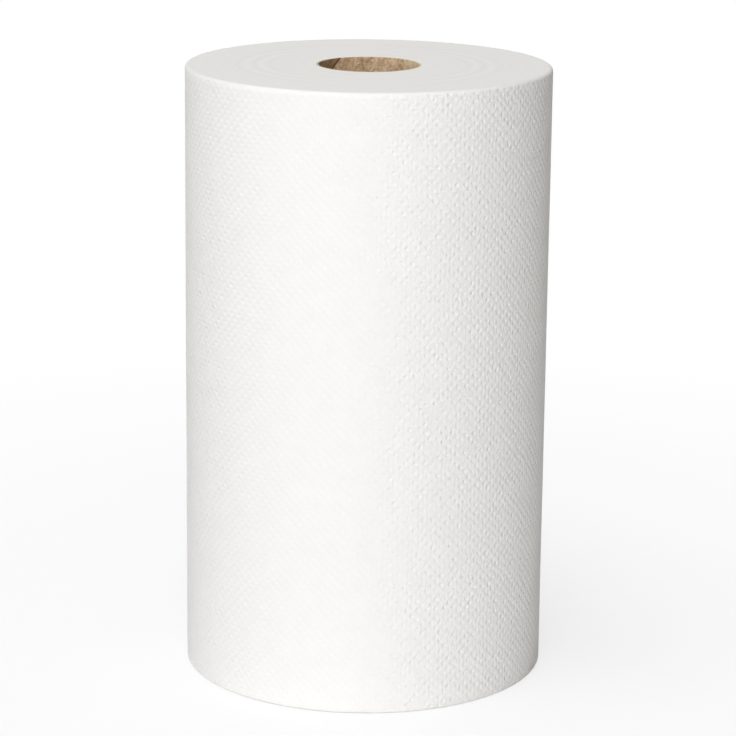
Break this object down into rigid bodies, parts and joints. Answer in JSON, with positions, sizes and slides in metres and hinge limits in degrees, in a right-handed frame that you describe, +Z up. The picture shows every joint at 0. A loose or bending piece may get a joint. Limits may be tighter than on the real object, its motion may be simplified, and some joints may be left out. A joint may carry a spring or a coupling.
{
  "type": "paper towel roll",
  "caption": "Hard-wound roll of white embossed paper towel on a spiral-wound kraft core, for a spindle or upright holder.",
  "frame": {"origin": "on the core's axis at the resting end face", "axes": "+Z up the core's axis to the other end face; the tail edge of the web lies on the +Y side, and -Y is the plain front"},
  "size_m": [0.1389, 0.139, 0.234],
  "materials": {
    "tissue": "white embossed creped tissue, matte",
    "kraft_board": "brown spiral-wound kraft board, matte"
  },
  "bodies": {
    "root": {"towel_winding": "tissue", "core_tube": "kraft_board"}
  },
  "joints": []
}
